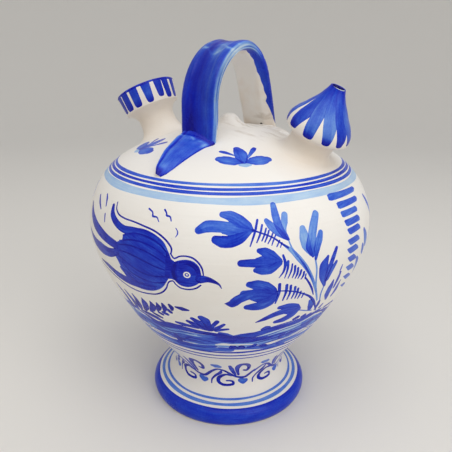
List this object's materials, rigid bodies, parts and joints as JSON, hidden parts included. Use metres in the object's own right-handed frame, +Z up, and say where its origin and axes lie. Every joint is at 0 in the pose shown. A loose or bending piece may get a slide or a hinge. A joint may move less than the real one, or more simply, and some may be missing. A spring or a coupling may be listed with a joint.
{
  "type": "botijo",
  "caption": "Closed earthenware water jar on a pedestal foot, with a strap handle over its dome, a flared filling mouth and an onion-shaped drinking spout, painted cobalt blue on white.",
  "frame": {"origin": "centre of the foot ring's underside, on the resting plane", "axes": "+Z up along the turning axis, +X towards the drinking spout, -X towards the filling mouth, -Y towards the handle's front tail"},
  "size_m": [0.1594, 0.1594, 0.21],
  "materials": {
    "white_glaze": "glossy tin-white glaze with cobalt brushwork",
    "striped_glaze": "glossy tin-white glaze with cobalt bars",
    "cobalt_glaze": "glossy cobalt-blue glaze, thin and paler on edges"
  },
  "bodies": {
    "root": {"pedestal_foot": "white_glaze", "belly": "white_glaze", "shoulder_dome": "white_glaze", "closing_knob": "white_glaze", "filling_neck": "white_glaze", "mouth_collar": "striped_glaze", "spout_stem": "white_glaze", "drinking_spout": "striped_glaze", "handle_strap": "cobalt_glaze", "handle_front_tail": "cobalt_glaze", "handle_rear_tail": "cobalt_glaze", "rear_root_coil": "white_glaze"}
  },
  "joints": []
}
